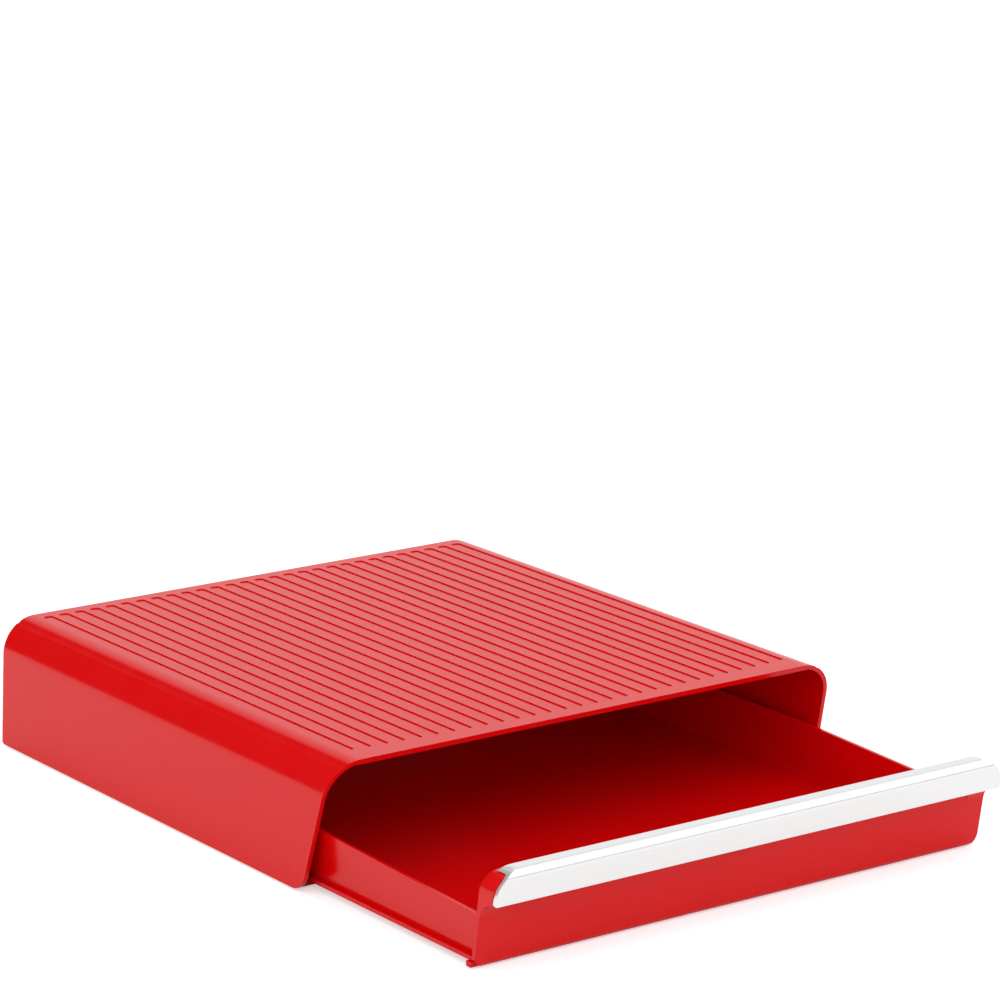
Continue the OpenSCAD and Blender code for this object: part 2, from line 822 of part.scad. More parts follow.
module left_hook_solid() {
    difference() {
        translate([-hook_x - hook_width / 2, tray_rear_y, hook_bottom])
            cube([hook_width, hook_thickness, hook_top - hook_bottom]);
        hook_screw_places()
            translate([0, 0, -cut_past])
                cylinder(r = screw_hole, h = hook_thickness + 2 * cut_past);
    }
}

module hook_screws_solid() {
    hook_screw_places()
        translate([0, 0, -screw_head_height])
            screw(hook_screw_length);
}

module left_stop_hook() {
    color(rail_grey) drawer_place() left_hook_solid();
}

module right_stop_hook() {
    color(rail_grey) drawer_place() mirror([1, 0, 0]) left_hook_solid();
}

module left_stop_hook_screws() {
    color(steel) drawer_place() hook_screws_solid();
}

module right_stop_hook_screws() {
    color(steel) drawer_place() mirror([1, 0, 0]) hook_screws_solid();
}

// ---- The whole -----------------------------------------------------------------------

casing();
left_rail();
right_rail();
left_rail_screws();
right_rail_screws();
front_tie_bar();
centre_runner();
front_left_foot();
front_right_foot();
rear_left_foot();
rear_right_foot();
tray();
front_panel();
front_panel_screws();
handle_strip();
left_stop_hook();
right_stop_hook();
left_stop_hook_screws();
right_stop_hook_screws();
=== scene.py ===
"""Coffee pod drawer: the looks of its pieces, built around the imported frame.

Every piece is modelled in millimetres in the drawing's own coordinates: +Z up, -Y the way
the drawer opens, the table at z = 0, and y = 0 in the middle of the casing's depth, with
the drawer shut. Each piece gets its place in metres when it is finished.
"""

import logging
import math
from contextlib import contextmanager
from dataclasses import dataclass
from enum import Enum
from functools import cache
from typing import Callable, Iterator, Optional, Sequence

import bmesh
import bpy
from mathutils import Matrix, Vector


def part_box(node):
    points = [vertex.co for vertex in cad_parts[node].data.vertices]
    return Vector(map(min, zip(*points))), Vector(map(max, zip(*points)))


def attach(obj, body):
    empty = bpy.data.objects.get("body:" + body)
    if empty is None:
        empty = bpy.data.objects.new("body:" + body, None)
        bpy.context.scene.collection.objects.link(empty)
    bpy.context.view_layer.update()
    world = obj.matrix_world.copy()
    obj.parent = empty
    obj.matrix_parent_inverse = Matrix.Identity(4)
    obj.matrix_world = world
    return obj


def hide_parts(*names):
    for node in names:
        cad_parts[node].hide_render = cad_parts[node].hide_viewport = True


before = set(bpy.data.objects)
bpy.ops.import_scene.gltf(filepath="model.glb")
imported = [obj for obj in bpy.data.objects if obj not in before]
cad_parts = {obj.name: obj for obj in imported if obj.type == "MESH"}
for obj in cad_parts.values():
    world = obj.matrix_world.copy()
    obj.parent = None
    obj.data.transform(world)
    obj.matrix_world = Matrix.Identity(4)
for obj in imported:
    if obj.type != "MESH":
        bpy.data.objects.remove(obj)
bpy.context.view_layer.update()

LOG = logging.getLogger("pod_drawer")

Piece = bpy.types.Object
Socket = bpy.types.NodeSocket
Edge = bmesh.types.BMEdge
Face = bmesh.types.BMFace
Point = tuple[float, float, float]
Pair = tuple[float, float]
Test = Callable[[object], bool]

MM = 0.001                # a millimetre in metres; the lengths below are in millimetres
HAIR = 0.01               # two places count as one within this
TOUCH = 0.001             # the same for corners of one flat face
MERGE = 0.004             # corners this near to each other become one
NEAR = 0.1                # near enough to count as on the same side
FLAT_ANGLE = 0.6          # faces that meet flatter than this, in degrees, can be one
FACING = 0.9              # share of a face's normal along the axis that it looks along
OVER = 1.0                # how far a cutter passes the face that it cuts
SPARE = 5.0               # what a block has too much, before its ends are cut
BEYOND = 60.0             # enough to pass the front of any piece
MATRIX_SIZE = 4


# ---- Shared sizes ------------------------------------------------------------------------


@dataclass(frozen=True)
class Drawing:
    """Sizes that several pieces share, in millimetres, and the lines that follow from them."""

    width: float = 338.0
    depth: float = 312.5
    height: float = 72.5
    wall: float = 2.5
    foot_height: float = 1.0
    side_lean: float = 3.7
    front_slant: float = 15.5
    rear_slant: float = 2.0
    tray_bottom: float = 3.6
    panel_slant: float = 10.0
    panel_level: float = 45.5
    panel_thickness: float = 2.5
    panel_gap: float = 0.05

    @property
    def slope(self) -> float:
        """How far the casing's front comes forward for each millimetre of height."""
        return math.tan(math.radians(self.front_slant))

    @property
    def panel_slope(self) -> float:
        """How far the drawer front comes forward for each millimetre of height."""
        return math.tan(math.radians(self.panel_slant))

    @property
    def front(self) -> float:
        """The casing's front at the table."""
        return -self.depth / 2

    @property
    def rear(self) -> float:
        """The casing's rear at the table."""
        return self.depth / 2

    @property
    def panel_depth(self) -> float:
        """The drawer front's thickness, measured along the drawer's travel."""
        return self.panel_thickness / math.cos(math.radians(self.panel_slant))

    @property
    def behind_panel(self) -> float:
        """From the drawer front's plane to the tray's front, along the travel."""
        return self.panel_depth + self.panel_gap

    def front_at(self, z: float) -> float:
        """The casing's slanted front plane at a height."""
        return self.front - self.slope * z

    def rear_at(self, z: float) -> float:
        """The casing's rear wall at a height."""
        return self.rear + z * math.tan(math.radians(self.rear_slant))

    def panel_at(self, z: float) -> float:
        """The drawer front's plane at a height."""
        return self.front_at(self.panel_level) - self.panel_slope * (z - self.panel_level)

    def outer_half(self, z: float) -> float:
        """Half the casing's outer width at a height."""
        return self.width / 2 - z * math.tan(math.radians(self.side_lean))

    def inner_half(self, z: float) -> float:
        """Half the casing's inner width at a height."""
        return self.outer_half(z) - self.wall / math.cos(math.radians(self.side_lean))


DRAWING = Drawing()


class Place(Enum):
    """Which of the two bodies a piece belongs to."""

    CASING = "casing_body"
    DRAWER = "drawer_body"

    def shift(self) -> float:
        """From the drawing's coordinates to the frame's, along Y, in millimetres.

        Returns:
            The way that a piece of this body moves.
        """
        if self is Place.CASING:
            return (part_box("front_left_foot")[0].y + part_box("rear_left_foot")[1].y) / 2 / MM
        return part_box("tray")[1].y / MM - Tray.rear


class Part(Enum):
    """What an edit picks."""

    CORNER = "VERT"
    EDGE = "EDGE"
    FACE = "FACE"


class Join(Enum):
    """How two solids are brought together."""

    CUT = "DIFFERENCE"
    WELD = "UNION"
    SHARE = "INTERSECT"


# ---- Tools of the bench ------------------------------------------------------------------


def put_down() -> None:
    """Leaves edit mode and deselects everything."""
    if bpy.context.mode != "OBJECT":
        bpy.ops.object.mode_set(mode="OBJECT")
    bpy.ops.object.select_all(action="DESELECT")


def take_up(piece: Piece) -> None:
    """Makes a piece the only selected one, and the active one.

    Args:
        piece: the piece.
    """
    put_down()
    piece.select_set(True)
    bpy.context.view_layer.objects.active = piece


@contextmanager
def editing(piece: Piece, whole: bool = False) -> Iterator[None]:
    """Holds a piece in edit mode.

    Args:
        piece: the piece to edit.
        whole: whether all of it is selected, or nothing.
    """
    take_up(piece)
    bpy.ops.object.mode_set(mode="EDIT")
    bpy.ops.mesh.select_all(action="SELECT" if whole else "DESELECT")
    yield
    bpy.ops.object.mode_set(mode="OBJECT")


def pick(piece: Piece, part: Part, test: Test) -> int:
    """Selects the corners, edges or faces of a piece in edit mode that pass a test.

    Args:
        piece: the piece that is being edited.
        part: what to pick.
        test: takes one corner, edge or face, and says whether it is wanted.

    Returns:
        How many were picked.
    """
    bpy.ops.mesh.select_mode(type=part.value)
    bpy.ops.mesh.select_all(action="DESELECT")
    mesh = bmesh.from_edit_mesh(piece.data)
    mesh.normal_update()
    items = {Part.CORNER: mesh.verts, Part.EDGE: mesh.edges, Part.FACE: mesh.faces}[part]
    chosen = [item for item in items if test(item)]
    for item in chosen:
        item.select_set(True)
    mesh.select_flush_mode()
    bmesh.update_edit_mesh(piece.data)
    return len(chosen)


def middle(edge: Edge) -> Vector:
    """The middle of an edge."""
    return (edge.verts[0].co + edge.verts[1].co) / 2


def runs(edge: Edge, axis: int, near: float = 0.999) -> bool:
    """Whether an edge runs along the X, Y or Z axis, given as 0, 1 or 2."""
    along = edge.verts[1].co - edge.verts[0].co
    return along.length > 0 and abs(along[axis]) / along.length > near


def looks(face: Face, axis: int, way: int) -> bool:
    """Whether a face looks along X, Y or Z, given as 0, 1 or 2, the way of 1 or -1."""
    return face.normal[axis] * way > FACING


def edges(axis: int, over: float = -math.inf, under: float = math.inf,
          near: float = 0.999) -> Test:
    """A test for edges that run along an axis, at or over one height and under another."""
    return lambda edge: (runs(edge, axis, near)
                         and over - HAIR < middle(edge).z < under + HAIR)


def block(name: str, low: Point, high: Point) -> Piece:
    """Adds a block between two corners, as the start of a piece or of a cutter.

    Args:
        name: the name of the object.
        low: the lowest corner.
        high: the highest corner.

    Returns:
        The block, with its place in its mesh.
    """
    put_down()
    low_corner, high_corner = Vector(low), Vector(high)
    bpy.ops.mesh.primitive_cube_add(size=1, location=(low_corner + high_corner) / 2,
                                    scale=high_corner - low_corner)
    return settled(name)


def rod(name: str, centre: Point, radius: float, length: float, sides: int = 32,
        turned: Point = (0, 0, 0)) -> Piece:
    """Adds a round rod, as the start of a piece or of a cutter.

    Args:
        name: the name of the object.
        centre: the middle of the rod.
        radius: its radius.
        length: its length, along Z unless it is turned.
        sides: the number of its sides.
        turned: its rotation about X, Y and Z in radians.

    Returns:
        The rod, with its place in its mesh.
    """
    put_down()
    bpy.ops.mesh.primitive_cylinder_add(vertices=sides, radius=radius, depth=length,
                                        location=centre, rotation=turned)
    return settled(name)


def settled(name: str) -> Piece:
    """Puts the new object's place into its mesh.

    Args:
        name: the name that it gets.

    Returns:
        The object.
    """
    piece = bpy.context.object
    piece.name = piece.data.name = name
    bpy.ops.object.transform_apply(location=True, rotation=True, scale=True)
    return piece


def copied(piece: Piece, move: Point = (0, 0, 0), name: Optional[str] = None) -> Piece:
    """Copies a piece with its own mesh.

    Args:
        piece: the piece to copy.
        move: the way to the copy's place.
        name: the copy's name, if it gets another one.

    Returns:
        The copy.
    """
    twin = piece.copy()
    twin.data = piece.data.copy()
    twin.name = twin.data.name = name or piece.name
    bpy.context.scene.collection.objects.link(twin)
    twin.data.transform(Matrix.Translation(move))
    return twin


def joined(pieces: Sequence[Piece], name: str) -> Piece:
    """Joins several objects into one mesh.

    Args:
        pieces: the objects.
        name: the name of the whole.

    Returns:
        The whole.
    """
    whole = pieces[0]
    take_up(whole)
    for piece in pieces:
        piece.select_set(True)
    bpy.ops.object.join()
    whole.name = whole.data.name = name
    return whole


def moved(piece: Piece, test: Test, move: Point) -> None:
    """Moves the corners of a piece that pass a test.

    Args:
        piece: the piece.
        test: takes one corner, and says whether it moves.
        move: the way that it moves.
    """
    with editing(piece):
        pick(piece, Part.CORNER, test)
        bpy.ops.transform.translate(value=move)


def resized(piece: Piece, test: Test, ratios: Point, centre: Point = (0, 0, 0)) -> None:
    """Brings the corners that pass a test further from a centre, or nearer to it.

    Args:
        piece: the piece.
        test: takes one corner, and says whether it moves.
        ratios: the new distance over the old one, along each axis.
        centre: the point that stays.
    """
    with editing(piece):
        pick(piece, Part.CORNER, test)
        bpy.ops.transform.resize(value=ratios, center_override=centre)


def drawn_out(piece: Piece, test: Test, move: Point) -> None:
    """Extrudes the faces of a piece that pass a test.

    Args:
        piece: the piece.
        test: takes one face, and says whether it is drawn out.
        move: the way that it goes.
    """
    with editing(piece):
        pick(piece, Part.FACE, test)
        bpy.ops.mesh.extrude_region_move(TRANSFORM_OT_translate={"value": move})


def spread(piece: Piece, top: float, ratio: float) -> None:
    """Makes the top of a block wider or narrower by a ratio."""
    resized(piece, lambda corner: corner.co.z > top - HAIR, (ratio, 1, 1))


def lean_forward(piece: Piece, low: float, high: float, slope: float,
                 front_only: bool = True) -> None:
    """Moves the top of a block forward until its front stands in a slanted plane.

    Args:
        piece: the block.
        low: the height of its bottom.
        high: the height of its top.
        slope: the way forward for each millimetre of height.
        front_only: leaves the rear upright.
    """
    corners = piece.data.vertices
    centre = sum(corner.co.y for corner in corners) / len(corners)
    moved(piece, lambda corner: corner.co.z > high - HAIR
          and (corner.co.y < centre or not front_only), (0, -slope * (high - low), 0))


def round_over(piece: Piece, test: Test, radius: float, segments: int,
               open_angle: float = 90.0) -> None:
    """Rounds the edges that pass a test.

    Args:
        piece: the piece.
        test: takes one edge, and says whether it is rounded.
        radius: the radius of the rounding.
        segments: the number of flats in it.
        open_angle: the angle between the two faces, in degrees.
    """
    with editing(piece):
        if pick(piece, Part.EDGE, test):
            bpy.ops.mesh.bevel(offset=radius / math.tan(math.radians(open_angle) / 2),
                               offset_type="OFFSET", segments=segments, profile=0.5,
                               affect="EDGES", clamp_overlap=True)
        else:
            LOG.warning("%s: nothing to round over at %.1f mm", piece.name, radius)


def applied(piece: Piece, kind: str, **settings: object) -> None:
    """Changes a piece by a modifier, for good.

    Args:
        piece: the piece.
        kind: the modifier's type.
        settings: the modifier's values.
    """
    take_up(piece)
    modifier = piece.modifiers.new(kind.lower(), kind)
    for name, value in settings.items():
        setattr(modifier, name, value)
    bpy.ops.object.modifier_apply(modifier=modifier.name)


def soften(piece: Piece, radius: float, segments: int = 2, angle: float = 40.0) -> None:
    """Breaks every edge that turns by more than an angle by a small radius."""
    applied(piece, "BEVEL", width=radius, segments=segments, limit_method="ANGLE",
            angle_limit=math.radians(angle), use_clamp_overlap=True, miter_outer="MITER_ARC")


def combine(piece: Piece, tool: Piece, how: Join = Join.CUT) -> None:
    """Cuts a tool out of a piece, welds it on or keeps what both share. The tool is used up."""
    applied(piece, "BOOLEAN", object=tool, operation=how.value, solver="EXACT")
    bpy.data.objects.remove(tool)


def shave(piece: Piece, point: Point, away: Point, drop: bool = True) -> None:
    """Cuts a piece by a plane, and drops the side that a vector points to or keeps both."""
    with editing(piece, whole=True):
        bpy.ops.mesh.bisect(plane_co=point, plane_no=away, use_fill=drop, clear_outer=drop)


def tidy_mesh(piece: Piece, flat: bool = False) -> None:
    """Merges doubles and turns faces outwards.

    Args:
        piece: the piece.
        flat: whether faces that lie in one plane become one.
    """
    with editing(piece, whole=True):
        bpy.ops.mesh.remove_doubles(threshold=MERGE)
        if flat:
            bpy.ops.mesh.dissolve_limited(angle_limit=math.radians(FLAT_ANGLE))
            bpy.ops.mesh.select_all(action="SELECT")
        bpy.ops.mesh.normals_make_consistent(inside=False)


# ---- Finishes ----------------------------------------------------------------------------


@dataclass(frozen=True)
class Noise:
    """A noise pattern on the piece's own coordinates.

    It has so many features in a metre, octaves of finer noise with their weight, and a
    scale along each axis before it is read.
    """

    scale: float
    detail: float = 2.0
    stretch: Point = (1, 1, 1)
    roughness: float = 0.5


class NodeBench:
    """Adds and joins the nodes of one material, or of the sky."""

    def __init__(self, tree: bpy.types.NodeTree) -> None:
        """Starts with the nodes that are there."""
        self.tree = tree
        self.patterns: dict[Noise, Socket] = {}

    def add(self, kind: str, inputs: Optional[dict] = None,
            **settings: object) -> bpy.types.Node:
        """Adds a node.

        Args:
            kind: the node's type, after the words that all of them start with.
            inputs: values or other sockets for its inputs, by their names or numbers.
            settings: what else is set on it.

        Returns:
            The node.
        """
        node = self.tree.nodes.new("ShaderNode" + kind)
        for name, value in settings.items():
            setattr(node, name, value)
        for key, value in (inputs or {}).items():
            self.feed(node.inputs[key], value)
        return node

    def feed(self, socket: Socket, value: object) -> None:
        """Joins a socket to another, or sets its value.

        Args:
            socket: the input.
            value: the other socket, or the value.
        """
        if isinstance(value, Socket):
            self.tree.links.new(value, socket)
        else:
            socket.default_value = value

    def place(self, name: str) -> Socket:
        """The coordinates of a name."""
        return self.add("TexCoord").outputs[name]

    def noise(self, pattern: Noise) -> Socket:
        """A noise pattern, made once in each material.

        Args:
            pattern: its sizes.

        Returns:
            The socket with the pattern's value.
        """
        if pattern not in self.patterns:
            mapping = self.add("Mapping", {"Vector": self.place("Object"),
                                           "Scale": pattern.stretch})
            texture = self.add("TexNoise", {
                "Vector": mapping.outputs["Vector"], "Scale": pattern.scale,
                "Detail": pattern.detail, "Roughness": pattern.roughness})
            self.patterns[pattern] = texture.outputs["Fac"]
        return self.patterns[pattern]

    def ramp(self, value: object, start: float, end: float, low: object = 0.0,
             high: object = 1.0, kind: str = "LINEAR") -> Socket:
        """Turns values from start to end into values from low to high."""
        return self.add("MapRange", {0: value, 1: start, 2: end, 3: low, 4: high},
                        interpolation_type=kind).outputs[0]

    def reckon(self, operation: str, first: object, second: object) -> Socket:
        """The result of an operation on two values."""
        return self.add("Math", {0: first, 1: second}, operation=operation).outputs[0]

    def toward(self, place: Socket, way: Point) -> Socket:
        """How well a direction agrees with another, up to 1."""
        return self.add("VectorMath", {0: place, 1: way},
                        operation="DOT_PRODUCT").outputs["Value"]


def shade(tint: Point, factor: float) -> tuple[float, ...]:
    """A linear colour with its alpha, made lighter or darker by a factor."""
    return (*[min(1.0, part * factor) for part in tint], 1.0)


@dataclass(frozen=True)
class Finish:
    """A finish whose colour, gloss and relief each follow a noise pattern.

    The pairs hold the lowest and the highest value. Reliefs are patterns with a height in
    metres, the coarse one first, and fixed values go on the shader's own sockets.
    """

    name: str
    tint: Point
    shades: Pair
    shading: Noise
    gloss: Pair
    glossing: Noise
    reliefs: tuple[tuple[Noise, float], ...]
    fixed: tuple[tuple[str, float], ...]
    contrast: Pair = (0.3, 0.7)

    def make(self) -> bpy.types.Material:
        """Builds the material.

        Returns:
            The material.
        """
        material = bpy.data.materials.new(self.name)
        material.use_nodes = True
        bench = NodeBench(material.node_tree)
        shader = bench.tree.nodes["Principled BSDF"].inputs
        share = bench.ramp(bench.noise(self.shading), *self.contrast)
        dark, light = (shade(self.tint, factor) for factor in self.shades)
        mixed = bench.add("Mix", {0: share, 6: dark, 7: light}, data_type="RGBA")
        bench.feed(shader["Base Color"], mixed.outputs[2])
        bench.feed(shader["Roughness"],
                   bench.ramp(bench.noise(self.glossing), *self.contrast, *self.gloss))
        under: dict[str, object] = {}
        for pattern, height in self.reliefs:
            bump = bench.add("Bump", {"Height": bench.noise(pattern), "Distance": height,
                                      "Strength": 1.0, **under})
            under = {"Normal": bump.outputs["Normal"]}
        bench.feed(shader["Normal"], under["Normal"])
        for socket, value in self.fixed:
            shader[socket].default_value = value
        return material


@dataclass(frozen=True)
class Moulding(Finish):
    """Injection-moulded plastic: a fine grain, a slow wave from cooling, and a soft gloss."""

    name: str = "red moulding"
    tint: Point = (0.7, 0.0012, 0.0022)
    shades: Pair = (0.98, 1.02)
    shading: Noise = Noise(7.0, 3.0, (1.0, 0.35, 1.0))
    gloss: Pair = (0.15, 0.21)
    glossing: Noise = Noise(45.0, 5.0)
    reliefs: tuple = ((Noise(38.0, 1.0), 0.00004), (Noise(2600.0), 0.000004))
    fixed: tuple = (("IOR", 1.49), ("Specular IOR Level", 0.3))


@dataclass(frozen=True)
class RailMoulding(Moulding):
    """The same plastic where it is rubbed: duller, with a coarser grain."""

    name: str = "rail plastic"
    tint: Point = (0.62, 0.0015, 0.003)
    shades: Pair = (0.95, 1.05)
    gloss: Pair = (0.32, 0.42)
    reliefs: tuple = ((Noise(38.0, 1.0), 0.00003), (Noise(2600.0), 0.000008))


@dataclass(frozen=True)
class SatinMetal(Finish):
    """Silver-coated plastic with fine brush lines along its length."""

    name: str = "strip metal"
    tint: Point = (0.9, 0.9, 0.9)
    shades: Pair = (0.97, 1.02)
    shading: Noise = Noise(900.0, 4.0, (0.012, 1.0, 1.0), 0.65)
    gloss: Pair = (0.2, 0.24)
    glossing: Noise = Noise(30.0, 3.0)
    reliefs: tuple = ((shading, 0.0000005),)
    fixed: tuple = (("Metallic", 0.6),)


@dataclass(frozen=True)
class PlatedSteel(Finish):
    """Zinc-plated screw steel with turning marks and a faint bloom."""

    name: str = "screw steel"
    tint: Point = (0.6, 0.61, 0.63)
    shades: Pair = (0.82, 1.1)
    shading: Noise = Noise(700.0, 4.0, roughness=0.7)
    gloss: Pair = (0.28, 0.46)
    glossing: Noise = shading
    reliefs: tuple = ((Noise(5200.0), 0.000004),)
    fixed: tuple = (("Metallic", 1.0),)


@dataclass(frozen=True)
class Nylon(Finish):
    """Unpainted nylon: milky, a little see-through at its edges, with a matte grain."""

    name: str = "slide plastic"
    tint: Point = (0.74, 0.73, 0.68)
    shades: Pair = (0.95, 1.03)
    shading: Noise = Noise(60.0, 4.0)
    gloss: Pair = (0.38, 0.58)
    glossing: Noise = Noise(300.0, 3.0, (1.0, 0.06, 1.0))
    reliefs: tuple = ((Noise(1900.0), 0.000012),)
    fixed: tuple = (("IOR", 1.53), ("Subsurface Weight", 0.08), ("Subsurface Scale", 0.002))


@dataclass(frozen=True)
class Rubber(Finish):
    """Soft black rubber with a dusty bloom."""

    name: str = "foot rubber"
    tint: Point = (0.03, 0.03, 0.03)
    shades: Pair = (1.0, 1.9)
    shading: Noise = Noise(900.0, 4.0, roughness=0.7)
    gloss: Pair = (0.62, 0.82)
    glossing: Noise = shading
    reliefs: tuple = ((Noise(2400.0, 3.0), 0.00002),)
    fixed: tuple = (("IOR", 1.5),)


FINISHES = {"red_moulding": Moulding(), "rail_plastic": RailMoulding(),
            "slide_plastic": Nylon(), "strip_metal": SatinMetal(),
            "screw_steel": PlatedSteel(), "foot_rubber": Rubber()}


@cache
def material_of(slot: str) -> bpy.types.Material:
    """The material of one of the record's slots, made when it is first asked for."""
    return FINISHES[slot].make()


def complete(piece: Piece, place: Place, slot: str, node: str,
             smooth: float = 32.0) -> None:
    """Tidies a piece, gives it its place in metres, its shading, its finish and its body.

    Args:
        piece: the modelled piece, in the drawing's millimetres.
        place: the body it belongs to.
        slot: the record's material slot.
        node: the frame's node that it stands for.
        smooth: edges flatter than this, in degrees, are shaded smooth.
    """
    tidy_mesh(piece)
    piece.data.transform(Matrix.Scale(MM, MATRIX_SIZE)
                         @ Matrix.Translation((0, place.shift(), 0)))
    take_up(piece)
    bpy.ops.object.shade_smooth_by_angle(angle=math.radians(smooth), keep_sharp_edges=False)
    applied(piece, "WEIGHTED_NORMAL", keep_sharp=True, weight=80)
    piece.data.materials.clear()
    piece.data.materials.append(material_of(slot))
    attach(piece, place.value)
    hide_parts(node)
    LOG.info("%s: %d faces, %s", piece.name, len(piece.data.polygons), slot)


# ---- Casing ------------------------------------------------------------------------------


@dataclass
class Casing:
    """The one-piece moulding: grooved deck, leaning side walls and rear wall."""

    corner_radius: float = 21.0
    toe_radius: float = 11.0
    heel_radius: float = 3.5
    heel_angles: tuple[float, ...] = (12, 28, 44, 60, 76)
    rear_edge: float = 0.8
    front_edge: float = 2.0
    inner_edge: float = 0.5
    inner_start: float = 3.0
    front_waste: float = 6.0
    near_rim: float = 0.05
    near_toe: float = 0.3
    near_deck: float = 0.2
    slight_turn: float = 0.2
    deck_thickness: float = 3.0
    groove_pitch: float = 10.05
    groove_width: float = 6.0
    groove_depth: float = 0.6
    groove_corner: float = 2.0
    groove_margin_rear: float = 8.4
    groove_margin_front: float = 10.0
    groove_bow: float = 6.0
    groove_count: int = 29
    groove_lip: float = 0.08
    groove_foot: float = 0.06
    cutter_above: float = 0.05
    cutter_flare: float = 15.0
    cutter_height: float = 1.0
    rib_count: int = 5
    rib_height: float = 3.0
    rib_thickness: float = 1.6
    rib_edge: float = 0.5
    weld: float = 0.5
    boss_radius: float = 2.8
    boss_height: float = 10.0
    boss_edge: float = 0.4
    web_half: float = 1.3
    web_below: float = 0.6
    pilot_radius: float = 1.34
    pilot_end: float = 1.2
    slot_half: float = 10.15
    slot_heights: Pair = (2.0, 3.45)
    rail_top: float = 8.1
    rail_web: float = 5.4
    rail_gap: float = 0.25
    screw_offset: float = 0.2
    screw_inset: float = 18.0

    def shell(self) -> Piece:
        """The leaning, rounded shell with its open front and underside.

        Returns:
            The shell.
        """
        d = DRAWING
        low, high = d.foot_height, d.height
        half = d.outer_half(low)
        body = block("pod_casing", (-half, d.front_at(low) - self.front_waste, low),
                     (half, d.rear_at(low), high))
        spread(body, high, d.outer_half(high) / half)
        lean_forward(body, low, high, d.slope)
        moved(body, lambda v: v.co.y > 0 and v.co.z > high - HAIR,
              (0, d.rear_at(high) - d.rear_at(low), 0))
        round_over(body, edges(1, over=high, near=0.98), self.corner_radius, segments=18,
                   open_angle=90.0 + d.side_lean)
        with editing(body):
            pick(body, Part.FACE, lambda f: looks(f, 2, -1) or looks(f, 1, -1))
            bpy.ops.mesh.delete(type="FACE")
        applied(body, "SOLIDIFY", thickness=d.wall, offset=-1, use_even_offset=True)
        under_deck = high - d.wall
        moved(body, lambda v: abs(v.co.z - under_deck) < self.near_deck,
              (0, 0, d.wall - self.deck_thickness))
        shave(body, (0, d.front, 0), (0, -1, -d.slope))
        round_over(body, lambda e: all(v.co.y > d.rear_at(v.co.z) - NEAR for v in e.verts)
                   and e.calc_face_angle(0) > 1 and middle(e).z > low + HAIR,
                   self.rear_edge, segments=4)
        self.round_heel(body)
        return body

    def round_heel(self, body: Piece) -> None:
        """Takes the rear wall's lower edge off in small flats, as a rounding.

        Args:
            body: the shell.
        """
        d = DRAWING
        height = d.foot_height + self.heel_radius
        centre = d.rear_at(height) - self.heel_radius / math.cos(math.radians(d.rear_slant))
        for angle in self.heel_angles:
            back, down = math.cos(math.radians(angle)), math.sin(math.radians(angle))
            shave(body, (0, centre + self.heel_radius * back, height - self.heel_radius * down),
                  (0, back, -down))

    def on_rim(self, item: Edge | Face) -> bool:
        """Whether an edge or a face lies in the front's slanted plane."""
        return all(abs(v.co.y - DRAWING.front_at(v.co.z)) < self.near_rim for v in item.verts)

    def beside_rim(self, edge: Edge) -> float:
        """Where the wall beside an edge of the rim looks.

        Args:
            edge: any edge of the shell.

        Returns:
            More than 0 for outwards, less than 0 for inwards, and 0 for other edges.
        """
        sides = [face for face in edge.link_faces if not self.on_rim(face)]
        if len(sides) != 1 or len(edge.link_faces) != 2:
            return 0.0
        return sides[0].normal.x * math.copysign(1, middle(edge).x) + sides[0].normal.z

    def round_rim(self, body: Piece) -> None:
        """Rounds the toes, then the outer edge of the front rim, then its inner edge.

        Args:
            body: the shell.
        """
        low, slight = DRAWING.foot_height, self.slight_turn
        round_over(body, lambda e: self.on_rim(e) and runs(e, 0, near=0.99)
                   and middle(e).z < low + self.near_toe, self.toe_radius, segments=8,
                   open_angle=90.0 + DRAWING.front_slant)
        round_over(body, lambda e: self.beside_rim(e) > slight, self.front_edge, segments=5)
        round_over(body, lambda e: self.beside_rim(e) < -slight
                   and middle(e).z > low + self.inner_start, self.inner_edge, segments=3)

    def groove_cutter(self) -> Piece:
        """One channel's cutter, with a rounded lip above and a rounded foot below.

        Returns:
            The cutter of the middle channel, at full length.
        """
        d = DRAWING
        lip, floor, above = self.groove_lip, self.groove_foot, self.cutter_above
        flare = lip + above / math.tan(math.radians(self.cutter_flare))
        half = self.groove_width / 2 + flare
        top = d.height
        front = d.front_at(top) + self.groove_margin_front
        rear = d.rear_at(top) - self.groove_margin_rear
        cutter = block("channel_cutter", (-half, front - flare, top + above),
                       (half, rear + flare, top + above + self.cutter_height))
        round_over(cutter, edges(2), self.groove_corner + flare, segments=4)
        steps = [(flare - lip, above), *self.quarter(lip, outward=True),
                 (0.0, self.groove_depth - lip - floor), *self.quarter(floor, outward=False)]
        for inward, down in steps:
            lowest = min(corner.co.z for corner in cutter.data.vertices)
            with editing(cutter):
                pick(cutter, Part.FACE, lambda f: looks(f, 2, -1)
                     and f.calc_center_median().z < lowest + TOUCH)
                if inward > 0:
                    bpy.ops.mesh.inset(thickness=inward, depth=0, use_even_offset=True)
                    bpy.ops.transform.translate(value=(0, 0, -down))
                else:
                    bpy.ops.mesh.extrude_region_move(
                        TRANSFORM_OT_translate={"value": (0, 0, -down)})
        return cutter

    @staticmethod
    def quarter(radius: float, outward: bool) -> list[Pair]:
        """Steps inward and down along a quarter of a circle.

        Args:
            radius: the radius of the quarter.
            outward: whether it starts level and ends upright, or the other way round.

        Returns:
            The way inward and the way down of each step.
        """
        turns = [math.radians(angle) for angle in (0, 30, 60, 90)]
        across = [radius * math.sin(turn) for turn in turns]
        along = [radius * (1 - math.cos(turn)) for turn in turns]
        places = list(zip(across, along) if outward else zip(along, across))
        return [(b[0] - a[0], b[1] - a[1]) for a, b in zip(places, places[1:])]

